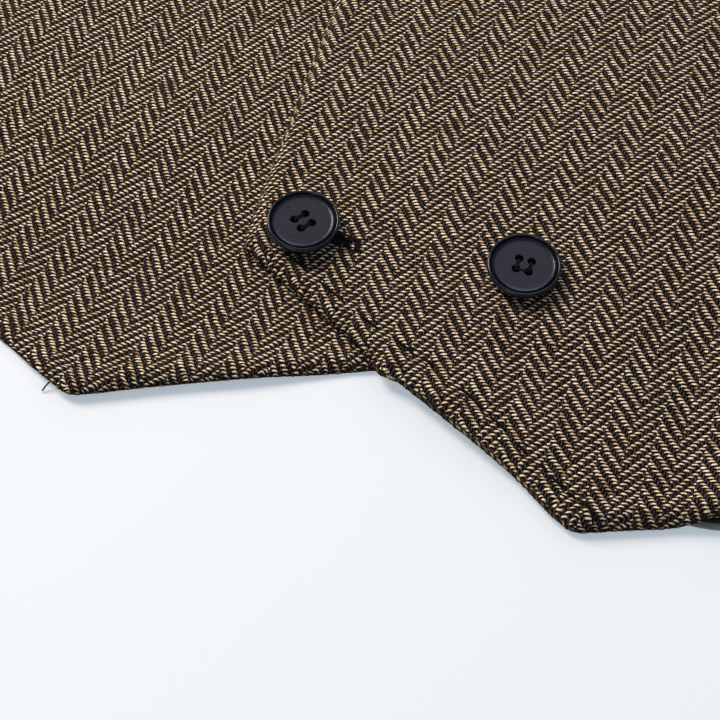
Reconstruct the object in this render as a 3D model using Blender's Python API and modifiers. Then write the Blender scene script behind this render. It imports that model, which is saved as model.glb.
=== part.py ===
"""A double-breasted suit waistcoat, buttoned and laid flat on its back.

Units are metres. +X is the wearer's left (the viewer's right), +Y runs from the hem
to the neck and +Z points up from the surface that it lies on. The sheets are drawn in
the garment's own plan, whose x = 0 is the centre front and whose y = 0 is the notch
between the two front points; at the end everything moves so that the origin is the
middle of the waistcoat's box, on the surface.
"""
import math

import bmesh
import bpy
from mathutils import Vector

# Cloth
BACK_THICKNESS = 0.0012          # satin back with its own lining
FRONT_THICKNESS = 0.0018         # tweed front
LINING_THICKNESS = 0.0010
CLOTH_GAP = 0.0003               # between two pieces that lie on each other

# Body, as half widths of the flat garment and heights in its plan
HALF_HEM = 0.246
HALF_WAIST = 0.238
HALF_CHEST = 0.260
SIDE_HEM_Y = 0.050
WAIST_Y = 0.185
CHEST_Y = 0.350                  # bottom of the armholes
BACK_HEM_DROP = 0.006            # how far the back's hem dips at its centre
BACK_NECK_DROP = 0.018

# Shoulders, one side
SHOULDER_TIP = (0.163, 0.602)
NECK_POINT = (0.080, 0.632)

# Where the two fronts overlap
OVERLAP_TOP = (-0.034, 0.238)    # top corner of the front edge, where the V neck starts

# Each front in its own mirrored plan, with the wearer's own side at +X. The corner is the
# bottom of the front edge, and the point is the lowest tip of the hem.
FRONTS = (
    # node           side  corner              point
    ("left_front",    1,   (-0.0340, 0.0202),  (0.0450, -0.0222)),
    ("right_front",  -1,   (-0.0340, 0.0135),  (0.0569, -0.0212)),
)

# How far the edges by the point stray inwards from straight lines, as (share of the way,
# millimetres): the cutaway from the corner to the point, and the hem from there to the side
CUTAWAY_STRAYS = {
    "left_front": ((0.10, -0.20), (0.25, 0.10), (0.41, -0.05), (0.436, -1.10),
                   (0.455, -1.85), (0.47, -1.35), (0.486, -0.15), (0.55, 0.05), (0.65, 0.38),
                   (0.73, 0.72), (0.80, 0.90), (0.86, 0.75), (0.93, -0.05)),
    "right_front": ((0.20, 0.60), (0.38, 0.90), (0.49, 0.75), (0.57, 0.74), (0.66, 0.66),
                    (0.76, 0.58), (0.86, 0.34), (0.95, -0.08)),
}
HEM_STRAYS = {
    "left_front": ((0.050, -0.15), (0.085, -0.25), (0.105, -0.05), (0.13, 0.85),
                   (0.18, 1.25), (0.35, 1.00), (0.65, 0.50)),
    "right_front": ((0.05, 0.75), (0.10, 1.90), (0.30, 3.80), (0.50, 4.50), (0.75, 3.20)),
}

# Smooth edges between two corners: how far the middle of each stands off the straight line,
# as (offset across the line, place along the line)
ARMHOLE_BOW_FRONT = (0.0420, 0.40)
ARMHOLE_BOW_BACK = (0.0270, 0.42)
NECK_BOW = (0.0100, 0.50)

# The lining shows beyond the left front's hem on this stretch of x, and is short elsewhere
LINING_SHOWS_FROM = 0.063
LINING_SHOWS_BY = 0.0023
LINING_SHORT_BY = 0.0020
LINING_STEP = 0.007

# How a sheet comes down past the edge of what it lies on: level for DROP_START, then a soft
# slope of length DROP_RUN
DROP_START = 0.006
DROP_RUN = 0.038

# Lines along which the sheets can bend. They are close where a sheet comes down.
FINE_BEND = 0.007
COARSE_BEND = 0.036
FINE_X = (-0.060, 0.084)
FINE_Y = (-0.024, 0.060)
EDGE_STEP = 0.014                # longest straight piece of a curved edge
MERGE = 0.00001                  # points closer than this are one

# Buttons
BUTTON_RADIUS = 0.0075
BUTTON_SIDES = 32
HOLE_RADIUS = 0.00075
HOLE_SPACING = 0.0026
HOLE_SIDES = 10
BUTTON_PROFILE = (
    # radius, height from the button's flat underside, from the top's centre outwards
    (0.0000, 0.00212),
    (0.0058, 0.00210),
    (0.0063, 0.00236),
    (0.0066, 0.00190),
    (0.0069, 0.00245),
    (0.0072, 0.00255),
    (0.0075, 0.00210),
    (0.0074, 0.00125),
    (0.0058, 0.00000),
    (0.0000, 0.00000),
)
ROW_SPACING = 0.090
BUTTONS = (
    # column   x        y of the lowest row   turn of the holes in each row, degrees
    ("edge",  -0.0223,  0.0263,               (48.0, 12.0, 71.0)),
    ("show",   0.0235,  0.0283,               (-2.0, 38.0, 20.0)),
)


def clear_scene():
    for old in list(bpy.data.objects):
        bpy.data.objects.remove(old, do_unlink=True)


def make_collection(name):
    collection = bpy.data.collections.new(name)
    bpy.context.scene.collection.children.link(collection)
    return collection


def make_material(name, colour, roughness, metallic=0.0):
    material = bpy.data.materials.new(name)
    material.use_nodes = True
    shader = material.node_tree.nodes["Principled BSDF"]
    shader.inputs["Base Color"].default_value = (*colour, 1.0)
    shader.inputs["Roughness"].default_value = roughness
    shader.inputs["Metallic"].default_value = metallic
    return material


# Edges in the plan -----------------------------------------------------------------------

def bowed(start, end, bow, place=0.5):
    """Points from start up to but not including end, on a curve that stands off to the left
    of the straight line by bow at the given place along it."""
    start, end = Vector(start), Vector(end)
    along = end - start
    across = Vector((-along.y, along.x)).normalized()
    count = max(1, math.ceil(along.length / EDGE_STEP)) if bow else 1
    peak = math.log(0.5) / math.log(place)
    return [start + along * t + across * bow * math.sin(math.pi * t ** peak)
            for t in (step / count for step in range(count))]


def through(points):
    """Points on a smooth curve through the given ones, without the last."""
    knots = [Vector(p) for p in points]
    knots = [2 * knots[0] - knots[1]] + knots + [2 * knots[-1] - knots[-2]]
    run = []
    for before, a, b, after in zip(knots, knots[1:], knots[2:], knots[3:]):
        count = max(1, math.ceil((b - a).length / EDGE_STEP / 2))
        for step in range(count):
            t = step / count
            run.append(0.5 * (2 * a + (b - before) * t
                              + (2 * before - 5 * a + 4 * b - after) * t ** 2
                              + (3 * a - before - 3 * b + after) * t ** 3))
    return run


def strayed(start, end, strays):
    """Points from start up to but not including end, on a smooth curve through places that
    stand off to the left of the straight line."""
    start, end = Vector(start), Vector(end)
    along = end - start
    across = Vector((-along.y, along.x)).normalized()
    return through([start, *(start + along * share + across * off / 1000
                             for share, off in strays), end])


def side_seam():
    """From the hem up to the armhole, on the wearer's left."""
    return through([(HALF_HEM, SIDE_HEM_Y), (HALF_WAIST, WAIST_Y), (HALF_CHEST, CHEST_Y)])


def front_outline(corner, point, cutaway_strays, hem_strays):
    """A front on the wearer's left, anticlockwise from the bottom of its front edge."""
    return (strayed(corner, point, cutaway_strays)
            + strayed(point, (HALF_HEM, SIDE_HEM_Y), hem_strays)
            + side_seam()
            + bowed((HALF_CHEST, CHEST_Y), SHOULDER_TIP, *ARMHOLE_BOW_FRONT)
            + bowed(SHOULDER_TIP, NECK_POINT, 0.0)
            + bowed(NECK_POINT, OVERLAP_TOP, *NECK_BOW)
            + bowed(OVERLAP_TOP, corner, 0.0))


def back_hem_y(x):
    return SIDE_HEM_Y - BACK_HEM_DROP * math.cos(0.5 * math.pi * min(abs(x) / HALF_HEM, 1.0))


def back_outline():
    """The back, anticlockwise from the wearer's right end of its hem."""
    hem_steps = math.ceil(2 * HALF_HEM / COARSE_BEND)
    hem_xs = [HALF_HEM * (2 * step / hem_steps - 1) for step in range(hem_steps)]
    hem = [Vector((x, back_hem_y(x))) for x in hem_xs]
    left = (side_seam()
            + bowed((HALF_CHEST, CHEST_Y), SHOULDER_TIP, *ARMHOLE_BOW_BACK)
            + bowed(SHOULDER_TIP, NECK_POINT, 0.0)
            + through([NECK_POINT, (NECK_POINT[0] * 0.5, NECK_POINT[1] - 0.8 * BACK_NECK_DROP),
                       (0.0, NECK_POINT[1] - BACK_NECK_DROP)]))
    middle = [Vector((0.0, NECK_POINT[1] - BACK_NECK_DROP))]
    right = [Vector((-p.x, p.y)) for p in reversed(left[1:])]
    return hem + left + middle + right


def lining_outline(front, point_x):
    """The left front's outline, drawn in a little, and let out under part of the hem."""
    inner = []
    count = len(front)
    for index, here in enumerate(front):
        before, after = front[index - 1], front[(index + 1) % count]
        along = ((here - before).normalized() + (after - here).normalized()).normalized()
        outward = Vector((along.y, -along.x))
        on_hem = here.x > point_x and here.y < SIDE_HEM_Y
        past = min(max((here.x - LINING_SHOWS_FROM) / LINING_STEP, 0.0), 1.0) if on_hem else 0.0
        inner.append(here + outward * (past * (LINING_SHOWS_BY + LINING_SHORT_BY)
                                       - LINING_SHORT_BY))
    return inner


# Heights of the sheets' undersides ---------------------------------------------------------

def line_distance(x, y, start, end):
    """Distance from the line through start and end, positive on its right."""
    along = (Vector(end) - Vector(start)).normalized()
    return (x - start[0]) * along.y - (y - start[1]) * along.x


def support(distance):
    """1 on top of what lies below and a little past its edge, easing to 0 further out."""
    t = min(max((distance - DROP_START) / DROP_RUN, 0.0), 1.0)
    return 0.5 + 0.5 * math.cos(math.pi * t)


def back_underside(x, y):
    return 0.0


def right_front_underside(x, y):
    return (BACK_THICKNESS + CLOTH_GAP) * support(back_hem_y(x) - y)


def past_right_front(x, y):
    """How far a place lies outside the right front's edges near the overlap."""
    _, side, corner, point = FRONTS[1]
    corner = (side * corner[0], corner[1])
    point = (side * point[0], point[1])
    overlap_top = (side * OVERLAP_TOP[0], OVERLAP_TOP[1])
    neck_point = (side * NECK_POINT[0], NECK_POINT[1])
    return max(line_distance(x, y, point, corner),
               line_distance(x, y, corner, overlap_top),
               line_distance(x, y, overlap_top, neck_point))


def lining_underside(x, y):
    return (right_front_underside(x, y)
            + (FRONT_THICKNESS + CLOTH_GAP) * support(past_right_front(x, y)))


def left_front_underside(x, y):
    return lining_underside(x, y) + LINING_THICKNESS + CLOTH_GAP


# Building ------------------------------------------------------------------------------

def bend_lines(low, high, fine):
    """Places from low to high, close together inside the fine stretch."""
    places = []
    place = fine[0]
    while place > low:
        places.append(place)
        place -= COARSE_BEND
    place = fine[0] + FINE_BEND
    while place < high:
        places.append(place)
        place += FINE_BEND if place < fine[1] else COARSE_BEND
    return sorted(places)


def sheet(name, outline, underside, thickness, material, collection):
    """A cloth panel: its outline filled, cut along the bend lines, draped and thickened."""
    mesh = bpy.data.meshes.new(name)
    bm = bmesh.new()
    bm.faces.new([bm.verts.new((p.x, p.y, 0.0)) for p in outline])
    xs = [p.x for p in outline]
    ys = [p.y for p in outline]
    cuts = [((x, 0, 0), (1, 0, 0)) for x in bend_lines(min(xs), max(xs), FINE_X)]
    cuts += [((0, y, 0), (0, 1, 0)) for y in bend_lines(min(ys), max(ys), FINE_Y)]
    for place, normal in cuts:
        bmesh.ops.bisect_plane(bm, geom=bm.verts[:] + bm.edges[:] + bm.faces[:],
                               plane_co=place, plane_no=normal, dist=MERGE)
    bmesh.ops.remove_doubles(bm, verts=bm.verts[:], dist=MERGE)
    bmesh.ops.triangulate(bm, faces=bm.faces[:])
    for vert in bm.verts:
        vert.co.z = underside(vert.co.x, vert.co.y)
    bmesh.ops.recalc_face_normals(bm, faces=bm.faces[:])
    if sum(face.normal.z for face in bm.faces) < 0:
        bmesh.ops.reverse_faces(bm, faces=bm.faces[:])
    bm.to_mesh(mesh)
    bm.free()
    mesh.materials.append(material)
    panel = bpy.data.objects.new(name, mesh)
    collection.objects.link(panel)
    solidify = panel.modifiers.new("thickness", "SOLIDIFY")
    solidify.thickness = thickness
    solidify.offset = 1.0
    return panel


def left_front_top(x, y):
    return left_front_underside(x, y) + FRONT_THICKNESS


def button_seat(x, y):
    """The highest cloth under a button, plus the gap."""
    ring = [(x, y)] + [(x + BUTTON_RADIUS * math.cos(a), y + BUTTON_RADIUS * math.sin(a))
                       for a in (math.tau * k / 12 for k in range(12))]
    return max(left_front_top(*place) for place in ring) + CLOTH_GAP


def turned(name, profile, sides, material, collection):
    """A turned solid: its profile, screwed round Z."""
    mesh = bpy.data.meshes.new(name)
    mesh.from_pydata([(r, 0.0, z) for r, z in profile],
                     [(k, k + 1) for k in range(len(profile) - 1)], [])
    mesh.materials.append(material)
    body = bpy.data.objects.new(name, mesh)
    collection.objects.link(body)
    screw = body.modifiers.new("turn", "SCREW")
    screw.steps = screw.render_steps = sides
    screw.use_merge_vertices = True
    screw.merge_threshold = MERGE
    return body


def hole_cutter(name, collection):
    """Four upright pins on a square, which bore a button's holes."""
    mesh = bpy.data.meshes.new(name)
    bm = bmesh.new()
    reach = HOLE_SPACING / 2
    for sx in (-1, 1):
        for sy in (-1, 1):
            pin = bmesh.ops.create_cone(bm, cap_ends=True, segments=HOLE_SIDES,
                                        radius1=HOLE_RADIUS, radius2=HOLE_RADIUS,
                                        depth=4 * BUTTON_PROFILE[0][1])
            bmesh.ops.translate(bm, verts=pin["verts"], vec=(sx * reach, sy * reach, 0.0))
    bm.to_mesh(mesh)
    bm.free()
    cutter = bpy.data.objects.new(name, mesh)
    collection.objects.link(cutter)
    cutter.hide_render = True
    cutter.display_type = "WIRE"
    return cutter


def button(name, x, y, turn, material, collection, cutters):
    body = turned(name, BUTTON_PROFILE, BUTTON_SIDES, material, collection)
    cutter = hole_cutter(name + "_holes", cutters)
    for piece in (body, cutter):
        piece.location = (x, y, button_seat(x, y))
        piece.rotation_euler = (0.0, 0.0, math.radians(turn))
    bore = body.modifiers.new("holes", "BOOLEAN")
    bore.object = cutter
    bore.solver = "EXACT"
    return [body, cutter]


def build():
    clear_scene()
    pieces = make_collection("suit_waistcoat")
    cutters = make_collection("cutters")
    tweed = make_material("tweed", (0.17, 0.13, 0.09), 0.9)
    satin = make_material("satin", (0.012, 0.012, 0.014), 0.45)
    plastic = make_material("button_plastic", (0.020, 0.020, 0.025), 0.5)

    outlines = {}
    for node, side, corner, point in FRONTS:
        outline = front_outline(corner, point, CUTAWAY_STRAYS[node], HEM_STRAYS[node])
        if side < 0:
            outline = [Vector((-p.x, p.y)) for p in reversed(outline)]
        outlines[node] = outline
    left_point_x = FRONTS[0][3][0]
    lining = lining_outline(outlines["left_front"], left_point_x)

    made = [
        sheet("back", back_outline(), back_underside, BACK_THICKNESS, satin, pieces),
        sheet("right_front", outlines["right_front"], right_front_underside,
              FRONT_THICKNESS, tweed, pieces),
        sheet("left_front_lining", lining, lining_underside, LINING_THICKNESS, satin, pieces),
        sheet("left_front", outlines["left_front"], left_front_underside,
              FRONT_THICKNESS, tweed, pieces),
    ]
    for column, x, y, turns in BUTTONS:
        for row, turn in enumerate(turns):
            made += button(f"button_{column}_{row + 1}", x, y + row * ROW_SPACING, turn,
                           plastic, pieces, cutters)

    lowest = min(p.y for outline in outlines.values() for p in outline)
    middle = Vector((0.0, (lowest + NECK_POINT[1]) / 2, 0.0))
    for piece in made:
        piece.location -= middle


build()
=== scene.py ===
"""The looks of a double-breasted herringbone waistcoat that lies buttoned on a pale table.

Units are metres, except where a name ends in _MM or a comment says millimetres. The cloth
is drawn in the garment's plan: x = 0 is the centre front, y = 0 is the notch between the
two front points, +X is the wearer's left and +Y runs to the neck. PLAN_SHIFT moves the
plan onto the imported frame.
"""
from functools import partialmethod
from math import ceil, cos, exp, floor, log, pi, radians, sin, sqrt, tanh, tau
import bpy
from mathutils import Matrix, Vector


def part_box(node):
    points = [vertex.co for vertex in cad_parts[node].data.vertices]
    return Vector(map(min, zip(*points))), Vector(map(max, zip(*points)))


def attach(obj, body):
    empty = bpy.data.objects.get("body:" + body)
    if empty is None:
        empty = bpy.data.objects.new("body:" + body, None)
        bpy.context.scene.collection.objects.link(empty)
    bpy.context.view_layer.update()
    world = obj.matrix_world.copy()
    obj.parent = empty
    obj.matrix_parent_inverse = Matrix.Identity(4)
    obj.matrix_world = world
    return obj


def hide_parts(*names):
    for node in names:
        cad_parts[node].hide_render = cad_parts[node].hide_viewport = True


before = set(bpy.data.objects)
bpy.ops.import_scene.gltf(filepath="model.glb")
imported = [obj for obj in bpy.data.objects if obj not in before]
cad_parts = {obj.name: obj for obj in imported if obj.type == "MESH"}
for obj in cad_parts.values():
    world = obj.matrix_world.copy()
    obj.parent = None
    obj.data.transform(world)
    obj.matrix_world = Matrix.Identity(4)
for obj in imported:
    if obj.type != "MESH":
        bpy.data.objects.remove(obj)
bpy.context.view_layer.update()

from types import SimpleNamespace

import bmesh
import bpy
from mathutils import Vector, geometry, noise
from mathutils.bvhtree import BVHTree

MM = 0.001
UP = Vector((0.0, 0.0, 1.0))
CORNERS = ((-1, -1), (1, -1), (1, 1), (-1, 1))  # of a square

# ---- Cloth, as in the solids ----
BACK_THICKNESS = 1.2 * MM
FRONT_THICKNESS = 1.8 * MM
LINING_THICKNESS = 1.0 * MM
CLOTH_GAP = 0.3 * MM
CLEARANCE = 0.02 * MM  # of the cloth over z = 0, and of the table under it
DROP_START = 6 * MM
DROP_RUN = 38 * MM

# Body, in the garment's plan
HALF_HEM = 0.246
HALF_WAIST = 0.238
HALF_CHEST = 0.260
SIDE_HEM_Y = 0.050
WAIST_Y = 0.185
CHEST_Y = 0.350
BACK_HEM_DROP = 0.006
BACK_NECK_DROP = 0.018
SHOULDER_TIP = (0.163, 0.602)
NECK_POINT = (0.080, 0.632)
OVERLAP_TOP = (-0.034, 0.238)
ARMHOLE_BOW_FRONT = (0.0420, 0.40)
ARMHOLE_BOW_BACK = (0.0270, 0.42)
NECK_BOW = (0.0100, 0.50)

# The fronts, each in its own mirrored plan: the bottom corner of the front edge, the point
LEFT_CORNER, LEFT_POINT = (-0.0340, 0.0202), (0.0450, -0.0222)
RIGHT_CORNER, RIGHT_POINT = (-0.0340, 0.0135), (0.0569, -0.0212)
# Where the edge from corner to point strays inwards: share of the way, and millimetres
LEFT_STRAYS = ((0.1, -0.2), (0.25, 0.1), (0.41, -0.05), (0.436, -1.1), (0.455, -1.85),
               (0.47, -1.35), (0.486, -0.15), (0.55, 0.05), (0.65, 0.38), (0.73, 0.72),
               (0.8, 0.9), (0.86, 0.75), (0.93, -0.05))
RIGHT_STRAYS = ((0.2, 0.6), (0.38, 0.9), (0.49, 0.75), (0.57, 0.74), (0.66, 0.66),
                (0.76, 0.58), (0.86, 0.34), (0.95, -0.08))
# and where the hem does, from the point to the side seam
LEFT_HEM_STRAYS = ((0.05, -0.15), (0.085, -0.25), (0.105, -0.05), (0.13, 0.85),
                   (0.18, 1.25), (0.35, 1.0), (0.65, 0.5))
RIGHT_HEM_STRAYS = ((0.05, 0.75), (0.1, 1.9), (0.3, 3.8), (0.5, 4.5), (0.75, 3.2))

LINING_SHOWS_FROM = 63 * MM
LINING_SHOWS_BY = 2.3 * MM
LINING_SHORT_BY = 2.0 * MM
LINING_STEP = 7 * MM

PLAN_SHIFT = Vector((0.0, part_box("left_front")[1][1] - NECK_POINT[1], 0.0))

# Buttons
BUTTON_RADIUS = 7.5 * MM
HOLE_RADIUS = 0.75 * MM
HOLE_SPACING = 2.6 * MM
ROW_SPACING = 0.090
BUTTONS = (
    # column   x        y of the lowest row   turn of the holes in each row, degrees
    ("edge",  -0.0223,  0.0263,               (48.0, 12.0, 71.0)),
    ("show",   0.0235,  0.0283,               (-2.0, 38.0, 20.0)),
)

# The camera's place, worked out from the buttons' size and the shape of the overlap
CAMERA_PLAN = Vector((35.8 * MM, -134.2 * MM, 258.0 * MM))
CAMERA_TURN = 16.0  # degrees that the view is turned to the wearer's right
CAMERA_TILT = 61.0  # degrees below level
CAMERA_FOCAL = 1467.0 / 720.0  # focal length as a share of the picture's width


# ---- Building blocks ----

def circle(steps):
    """Cosine and sine of equal steps round a circle."""
    return [(cos(tau * k / steps), sin(tau * k / steps)) for k in range(steps)]


def mesh_of(bm, name, material=None):
    """The finished bmesh as a mesh, with its faces turned outwards."""
    bmesh.ops.recalc_face_normals(bm, faces=bm.faces[:])
    mesh = bpy.data.meshes.new(name)
    bm.to_mesh(mesh)
    bm.free()
    if material:
        mesh.materials.append(material)
    return mesh


def placed(name, data, place=(0.0, 0.0, 0.0), turn=(0.0, 0.0, 0.0)):
    """A new object in the scene with that mesh, lamp or camera."""
    piece = bpy.data.objects.new(name, data)
    piece.location = place
    piece.rotation_euler = turn
    bpy.context.collection.objects.link(piece)
    return piece


# ---- Plan outlines ----

def left_of(along):
    return Vector((-along.y, along.x)).normalized()


def bowed(start, end, bow, place=0.5, step=0.014):
    """Points from start up to but not including end, on a curve that stands off to the left
    of the straight line by bow at the given place along it."""
    start, end = Vector(start), Vector(end)
    along = end - start
    across = left_of(along)
    count = max(1, ceil(along.length / step))
    peak = log(0.5) / log(place)
    return [start + along * t + across * bow * sin(pi * t ** peak)
            for t in (k / count for k in range(count))]


def through(points, step=0.007):
    """Points on a smooth curve through the given ones, without the last."""
    knots = [Vector(p) for p in points]
    knots = [2 * knots[0] - knots[1]] + knots + [2 * knots[-1] - knots[-2]]
    run = []
    for before, a, b, after in zip(knots, knots[1:], knots[2:], knots[3:]):
        count = max(1, ceil((b - a).length / step))
        for k in range(count):
            t = k / count
            run.append(0.5 * (2 * a + (b - before) * t
                              + (2 * before - 5 * a + 4 * b - after) * t ** 2
                              + (3 * a - before - 3 * b + after) * t ** 3))
    return run


def strayed(start, end, strays):
    """Points from start up to but not including end, on a smooth curve through places that
    stand off to the left of the straight line."""
    start, end = Vector(start), Vector(end)
    along = end - start
    across = left_of(along)
    return through([start, *(start + along * share + across * off * MM for share, off in strays),
                    end])


def side_seam():
    return through([(HALF_HEM, SIDE_HEM_Y), (HALF_WAIST, WAIST_Y), (HALF_CHEST, CHEST_Y)])


def front_outline(corner, point, strays, hem_strays):
    """A front on the wearer's left, anticlockwise from the bottom of its front edge."""
    return (strayed(corner, point, strays)
            + strayed(point, (HALF_HEM, SIDE_HEM_Y), hem_strays)
            + side_seam()
            + bowed((HALF_CHEST, CHEST_Y), SHOULDER_TIP, *ARMHOLE_BOW_FRONT)
            + bowed(SHOULDER_TIP, NECK_POINT, 0.0)
            + bowed(NECK_POINT, OVERLAP_TOP, *NECK_BOW)
            + bowed(OVERLAP_TOP, corner, 0.0))


def mirrored(outline):
    return [Vector((-p.x, p.y)) for p in reversed(outline)]


def back_hem_y(x):
    return SIDE_HEM_Y - BACK_HEM_DROP * cos(0.5 * pi * min(abs(x) / HALF_HEM, 1.0))


def back_outline():
    steps = 48
    hem = [Vector((x, back_hem_y(x)))
           for x in (HALF_HEM * (2 * k / steps - 1) for k in range(steps))]
    neck_middle = (0.0, NECK_POINT[1] - BACK_NECK_DROP)
    left = (side_seam()
            + bowed((HALF_CHEST, CHEST_Y), SHOULDER_TIP, *ARMHOLE_BOW_BACK)
            + bowed(SHOULDER_TIP, NECK_POINT, 0.0)
            + through([NECK_POINT, (NECK_POINT[0] * 0.5, NECK_POINT[1] - 0.8 * BACK_NECK_DROP),
                       neck_middle]))
    return hem + left + [Vector(neck_middle)] + mirrored(left[1:])


def lining_outline(front):
    """The left front's outline, drawn in a little, and let out under part of the hem."""
    inner = []
    for index, here in enumerate(front):
        before, after = front[index - 1], front[(index + 1) % len(front)]
        outward = -left_of((here - before).normalized() + (after - here).normalized())
        on_hem = here.x > LEFT_POINT[0] and here.y < SIDE_HEM_Y
        past = min(max((here.x - LINING_SHOWS_FROM) / LINING_STEP, 0.0), 1.0) if on_hem else 0.0
        by = past * (LINING_SHOWS_BY + LINING_SHORT_BY) - LINING_SHORT_BY
        inner.append(here + outward * by)
    return inner


# ---- Heights ----

def ease(t):
    t = min(max(t, 0.0), 1.0)
    return t * t * (3.0 - 2.0 * t)


def line_distance(x, y, start, end):
    """Distance from the line through start and end, positive on its right."""
    along = (Vector(end) - Vector(start)).normalized()
    return (x - start[0]) * along.y - (y - start[1]) * along.x


def support(distance):
    """1 on top of what lies below and a little past its edge, easing to 0 further out."""
    t = min(max((distance - DROP_START) / DROP_RUN, 0.0), 1.0)
    return 0.5 + 0.5 * cos(pi * t)


RIGHT_EDGE = [(-x, y) for x, y in (RIGHT_POINT, RIGHT_CORNER, OVERLAP_TOP, NECK_POINT)]


def past_right_front(x, y):
    """How far a place lies outside the right front's edges near the overlap."""
    return max(line_distance(x, y, a, b) for a, b in zip(RIGHT_EDGE, RIGHT_EDGE[1:]))


def back_underside(x, y):
    return 0.0


def right_front_underside(x, y):
    return (BACK_THICKNESS + CLOTH_GAP) * support(back_hem_y(x) - y)


def lining_underside(x, y):
    return (right_front_underside(x, y)
            + (FRONT_THICKNESS + CLOTH_GAP) * support(past_right_front(x, y)))


def left_front_underside(x, y):
    return lining_underside(x, y) + LINING_THICKNESS + CLOTH_GAP


# Soft ridges (height > 0) and troughs (height < 0), each along a line, in millimetres of plan
CREASES_MM = (
    # from x, y, to x, y, width, height
    (58, 62, 110, 70, 17, 0.9),
    (-4, 44, 14, 50, 8, 0.35),
    (-3, 29, 18, 27, 5, -0.3),
    (8, 18, 40, 17, 7, 0.35),
    (28, 8, 44, -4, 5, -0.25),
    (-75, 44, -52, 46, 10, 0.7),
    (-66, 6, -30, 12, 8, -0.3),
    (-70, -26, -22, -8, 9, 1.1),
    (60, 10, 84, 20, 9, 0.5),
    # the body, hidden from the camera: soft folds from the waist, the armholes and the buttons
    (70, 130, 190, 150, 16, 2.2),
    (95, 185, 225, 172, 12, 1.8),
    (60, 235, 150, 300, 18, 2),
    (215, 330, 150, 395, 11, 2.2),
    (195, 320, 120, 345, 13, 1.6),
    (120, 480, 138, 575, 12, 1.5),
    (70, 430, 108, 540, 15, 1.6),
    (150, 85, 228, 100, 15, 1.7),
    (-80, 140, -200, 128, 15, 2),
    (-100, 178, -224, 192, 13, 2.1),
    (-58, 250, -140, 285, 17, 1.8),
    (-218, 335, -160, 385, 12, 2),
    (-190, 312, -128, 352, 14, 1.5),
    (-118, 470, -140, 570, 11, 1.6),
    (-78, 415, -104, 520, 16, 1.4),
    (-140, 80, -226, 92, 14, 1.5),
    (-20, 560, 30, 470, 14, 1.2),
)


MEAN_RISE_MM = 0.45  # the drape's height where there is no crease
UNEVEN_MM, UNEVEN_WAVE_MM = 0.16, 11.0
CREASE_ENDS = 3.0  # a crease has faded out at so many of its widths


def away_squared(x, y, x0, y0, x1, y1):
    """The square of a place's distance from the stretch of line between two others."""
    run_x, run_y = x1 - x0, y1 - y0
    along = ((x - x0) * run_x + (y - y0) * run_y) / (run_x ** 2 + run_y ** 2)
    held = min(max(along, 0.0), 1.0)
    return (x - x0 - held * run_x) ** 2 + (y - y0 - held * run_y) ** 2


def crease_height(x, y):
    """The creases' height at a place, in metres. It is never below 0, so that no sheet goes
    through what it lies on."""
    x, y = x / MM, y / MM
    total = MEAN_RISE_MM
    for *line, width, height in CREASES_MM:
        away = away_squared(x, y, *line)
        if away < (CREASE_ENDS * width) ** 2:
            total += height * exp(-away / width ** 2)
    total += UNEVEN_MM * noise.noise(Vector((x / UNEVEN_WAVE_MM, y / UNEVEN_WAVE_MM, 3.7)))
    return max(total, 0.0) * MM


# ---- Sheets of cloth ----

# Distances of the mesh's rings inside an edge: close together where the camera is near
NEAR_RINGS_MM = (0.05, 0.15, 0.30, 0.48, 0.70, 0.95, 1.20, 1.50, 1.85, 2.3, 2.9, 3.6, 4.4, 5.2,
                 5.8, 6.4, 7.0, 7.8, 8.8)
FAR_RINGS_MM = (0.10, 0.45, 0.90, 1.8, 3.4, 5.4, 6.4, 7.4, 8.8)
HALF_RINGS_FROM_MM, QUARTER_RINGS_FROM_MM = 1.7, 3.2  # rings with 1 in 2 and 1 in 4 points
NEAR_X, NEAR_Y = (-104 * MM, 84 * MM), (-40 * MM, 86 * MM)  # what the camera sees, and a margin
NEAR_GRID, FAR_GRID = 1.9 * MM, 6.5 * MM
NEAR_STEP, FAR_STEP = 0.28 * MM, 4.0 * MM
CORNER_ROUND = 2.2 * MM
RING_SHARE = 0.97  # a ring's point is kept if no other edge is nearer than this
ROW_SHARE, GRID_MARGIN = 0.866, 0.4  # in a grid of equal triangles, in its own spacing
ON_EDGE, MERGED = 1e-6, 1e-7  # distances that count as none
EDGE_MAP_REACH = 20 * MM  # the edge map counts no further in than this
UNFACED = 4000.0  # added to the edge map along edges that have no facing


def is_near(p):
    return NEAR_X[0] < p[0] < NEAR_X[1] and NEAR_Y[0] < p[1] < NEAR_Y[1]


def resampled(outline, near_step):
    """The closed outline with points close together where the camera is near."""
    points = []
    for a, b in zip(outline, outline[1:] + outline[:1]):
        step = near_step if is_near(a) or is_near(b) else FAR_STEP
        count = max(1, ceil((b - a).length / step))
        points += [a.lerp(b, k / count) for k in range(count)]
    return rounded(points, round(CORNER_ROUND / near_step))


def rounded(points, reach):
    """The outline with its corners rounded off where the camera is near."""
    smooth = []
    for index, here in enumerate(points):
        nearby = [points[(index + k) % len(points)] for k in range(-reach, reach + 1)]
        if all(is_near(p) for p in nearby):
            here = sum(nearby, Vector((0.0, 0.0))) / len(nearby)
        smooth.append(here)
    return smooth


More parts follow.
